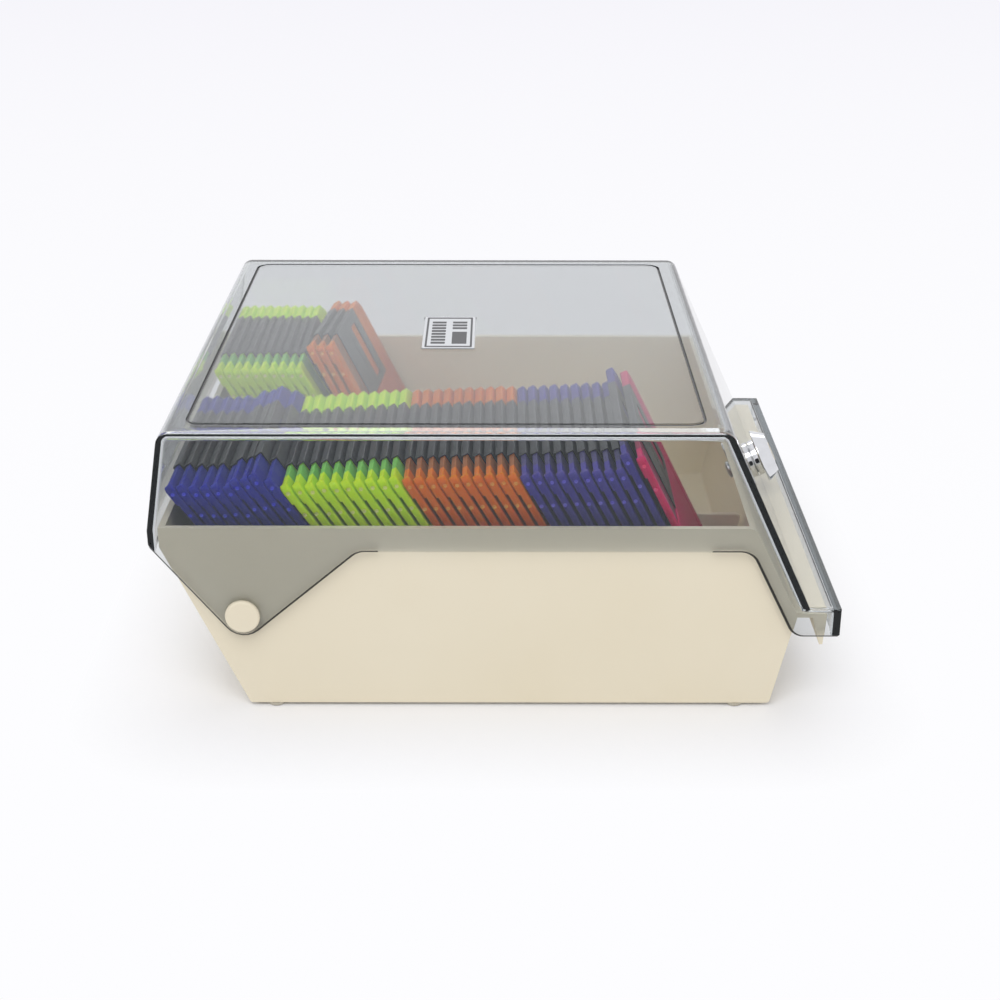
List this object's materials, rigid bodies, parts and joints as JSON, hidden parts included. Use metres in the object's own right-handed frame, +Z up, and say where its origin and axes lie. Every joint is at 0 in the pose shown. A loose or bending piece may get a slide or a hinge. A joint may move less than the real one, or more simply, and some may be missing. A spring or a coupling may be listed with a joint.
{
  "type": "diskette storage box",
  "caption": "Desktop diskette box: cream tray with sloping ends, smoked clear hinged lid with a front key lock, holding rows of leaning translucent diskettes.",
  "frame": {"origin": "on the floor under the middle of the box", "axes": "+X towards the lock end, +Y towards the far long side, +Z up"},
  "size_m": [0.244, 0.2218, 0.1081],
  "materials": {
    "cream_abs": "fine matt moulded",
    "foot_pad": "soft translucent pad",
    "plated_steel": "zinc plated",
    "smoked_clear": "polished smoked clear",
    "label_plate": "printed silver film",
    "lock_chrome": "bright plated die casting",
    "lock_plug": "nickel plated",
    "disk_blue": "translucent moulded",
    "disk_green": "translucent moulded",
    "disk_orange": "translucent moulded",
    "disk_violet": "translucent moulded",
    "disk_red": "translucent moulded",
    "disk_shutter": "satin black"
  },
  "bodies": {
    "base": {"base_tray": "cream_abs", "row_divider": "cream_abs", "foot_near_rear": "foot_pad", "foot_near_front": "foot_pad", "foot_far_rear": "foot_pad", "foot_far_front": "foot_pad", "hinge_pin_near": "cream_abs", "hinge_pin_far": "cream_abs", "hinge_clip_near": "plated_steel", "hinge_clip_far": "plated_steel", "blue_disks": "disk_blue", "green_disks": "disk_green", "orange_disks": "disk_orange", "violet_disks": "disk_violet", "red_disk": "disk_red", "far_green_disks": "disk_green", "orange_1_disk": "disk_orange", "orange_2_disk": "disk_orange", "orange_3_disk": "disk_orange"},
    "lid": {"lid_shell": "smoked_clear", "label_plate": "label_plate", "lock_head": "lock_chrome", "lock_collar": "lock_chrome", "lock_barrel": "lock_chrome", "lock_nut": "plated_steel"},
    "lock_core": {"lock_plug": "lock_plug", "lock_cam": "plated_steel", "lock_cam_screw": "plated_steel"},
    "red_shutter_slider": {"red_shutter": "disk_shutter"},
    "orange_1_shutter_slider": {"orange_1_shutter": "disk_shutter"},
    "orange_2_shutter_slider": {"orange_2_shutter": "disk_shutter"},
    "orange_3_shutter_slider": {"orange_3_shutter": "disk_shutter"}
  },
  "joints": [
    {"name": "lid_hinge", "type": "hinge", "parent": "base", "child": "lid", "pos_m": [-0.0905, 0, 0.0384], "axis": [0, -1, 0], "range_deg": [0, 95]},
    {"name": "lock_turn", "type": "hinge", "parent": "lid", "child": "lock_core", "pos_m": [0.10459, 0, 0.0543], "axis": [0.9073, 0, 0.4204], "range_deg": [0, 90]},
    {"name": "red_shutter_slide", "type": "slide", "parent": "base", "child": "red_shutter_slider", "axis": [0, -1, 0], "range_m": [0, 0.018], "stiffness_N_per_m": 25},
    {"name": "orange_1_shutter_slide", "type": "slide", "parent": "base", "child": "orange_1_shutter_slider", "axis": [-0.0443, -0.9952, 0.0869], "range_m": [0, 0.018], "stiffness_N_per_m": 25},
    {"name": "orange_2_shutter_slide", "type": "slide", "parent": "base", "child": "orange_2_shutter_slider", "axis": [-0.0443, -0.9952, 0.0869], "range_m": [0, 0.018], "stiffness_N_per_m": 25},
    {"name": "orange_3_shutter_slide", "type": "slide", "parent": "base", "child": "orange_3_shutter_slider", "axis": [-0.0443, -0.9952, 0.0869], "range_m": [0, 0.018], "stiffness_N_per_m": 25}
  ]
}
